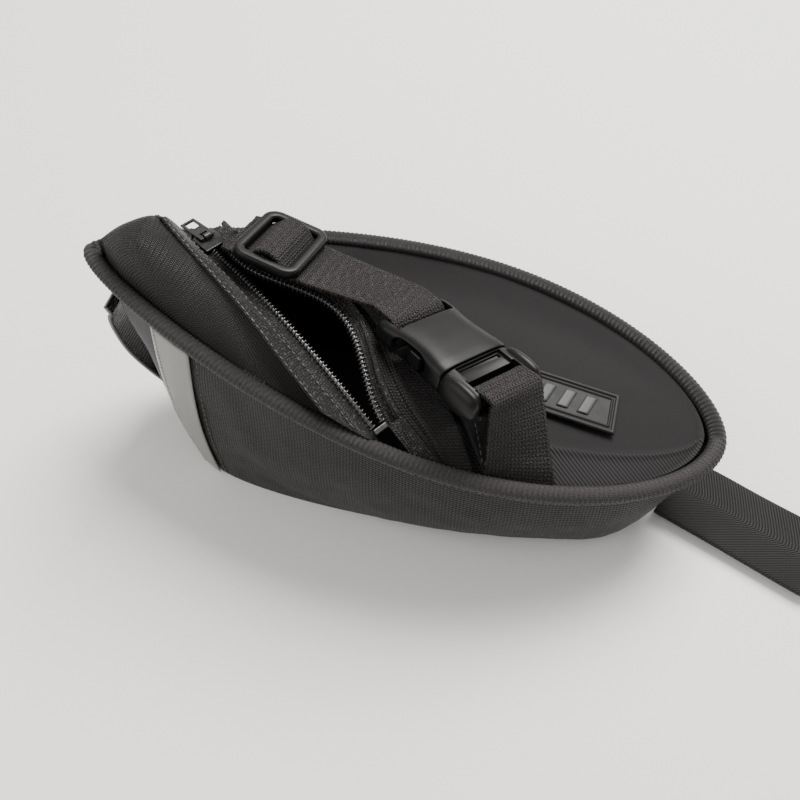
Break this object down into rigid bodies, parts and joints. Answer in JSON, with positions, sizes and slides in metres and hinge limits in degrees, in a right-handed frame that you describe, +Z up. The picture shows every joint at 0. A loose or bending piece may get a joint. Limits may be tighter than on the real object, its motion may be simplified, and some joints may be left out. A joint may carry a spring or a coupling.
{
  "type": "saddle bag",
  "caption": "Wedge-shaped under-saddle bag with an open curved-top zip, a buckled rail strap, a tail light loop and a seatpost strap.",
  "frame": {"origin": "underside of the bottom panel, halfway along the top outline, on the bag's middle plane", "axes": "+X from the pointed rear tip towards the seatpost strap, +Y towards the bag's left side, +Z up, bag standing on its flat bottom"},
  "size_m": [0.2338, 0.0794, 0.0783],
  "materials": {
    "coarse_polyester": "coarse dark polyester weave",
    "smooth_polyester": "smooth dark polyester",
    "piping_twill": "twill-covered piping",
    "zipper_tape": "herringbone tape",
    "zipper_coil": "nylon coil with fine glints",
    "zip_metal": "black painted zinc",
    "webbing": "ribbed webbing",
    "buckle_plastic": "moulded black plastic",
    "reflective_tape": "silver retroreflective tape",
    "label_rubber": "moulded soft rubber",
    "stiffener_board": "plastic board, inside",
    "hook_tape": "hook tape",
    "bar_tack_thread": "dense stitching"
  },
  "bodies": {
    "bag": {"side_panel_left": "coarse_polyester", "side_panel_right": "coarse_polyester", "rear_top_panel": "coarse_polyester", "bottom_panel": "coarse_polyester", "post_strap_tab": "coarse_polyester", "rear_panel": "smooth_polyester", "front_top_panel": "smooth_polyester", "top_piping": "piping_twill", "zipper_tape_rear": "zipper_tape", "zipper_coil_rear": "zipper_coil", "zip_end_stop_near": "zip_metal", "zip_end_stop_far": "zip_metal", "rail_strap_near": "webbing", "rail_strap_far": "webbing", "buckle_female": "buckle_plastic", "buckle_male": "buckle_plastic", "reflector_left": "reflective_tape", "reflector_right": "reflective_tape", "label_patch": "label_rubber", "label_emblem": "label_rubber", "light_loop": "label_rubber", "top_stiffener": "stiffener_board", "bottom_stiffener": "stiffener_board", "loop_tack_upper": "bar_tack_thread", "loop_tack_lower": "bar_tack_thread"},
    "mouth_front": {"mouth_lip": "coarse_polyester", "zipper_tape_front": "zipper_tape", "zipper_coil_front": "zipper_coil"},
    "slider": {"zip_slider": "zip_metal"},
    "puller": {"zip_puller": "zip_metal"},
    "left_prong": {"prong_left": "buckle_plastic"},
    "right_prong": {"prong_right": "buckle_plastic"},
    "adjuster": {"strap_adjuster": "buckle_plastic"},
    "seatpost_strap": {"post_strap": "webbing", "post_strap_hook": "hook_tape"}
  },
  "joints": [
    {"name": "zip_travel", "type": "hinge", "parent": "bag", "child": "slider", "pos_m": [-0.04788, 0.00186, -0.06158], "axis": [0.5527, 0.8334, 0], "range_deg": [0, 32.15]},
    {"name": "puller_swing", "type": "hinge", "parent": "slider", "child": "puller", "pos_m": [-0.06056, 0.01027, 0.0698], "axis": [0.5527, 0.8334, 0], "range_deg": [0, 120]},
    {"name": "mouth_close", "type": "slide", "parent": "bag", "child": "mouth_front", "axis": [-0.5419, -0.8172, 0.1961], "range_m": [0, 0.01173], "deforming": ["mouth_lip", "zipper_tape_front", "zipper_coil_front"]},
    {"name": "prong_left_squeeze", "type": "hinge", "parent": "bag", "child": "left_prong", "pos_m": [0.02818, -0.00533, 0.05719], "axis": [0.148, 0.2728, 0.9506], "range_deg": [0, 8], "stiffness_Nm_per_rad": 0.05},
    {"name": "prong_right_squeeze", "type": "hinge", "parent": "bag", "child": "right_prong", "pos_m": [0.01949, -0.01805, 0.0622], "axis": [-0.148, -0.2728, -0.9506], "range_deg": [0, 8], "stiffness_Nm_per_rad": 0.05},
    {"name": "adjuster_rock", "type": "hinge", "parent": "bag", "child": "adjuster", "pos_m": [-0.0368, 0.0098, 0.0722], "axis": [0.1032, 0.9659, -0.2375], "range_deg": [-2, 2]},
    {"name": "seatpost_strap_swing", "type": "hinge", "parent": "bag", "child": "seatpost_strap", "pos_m": [0.087, 0.0006, 0.002], "axis": [-0.3746, -0.9272, 0], "range_deg": [0, 60]}
  ],
  "couplings": [
    {"joint": "mouth_close", "follows": "zip_travel", "m_per_rad": 0.0209}
  ]
}
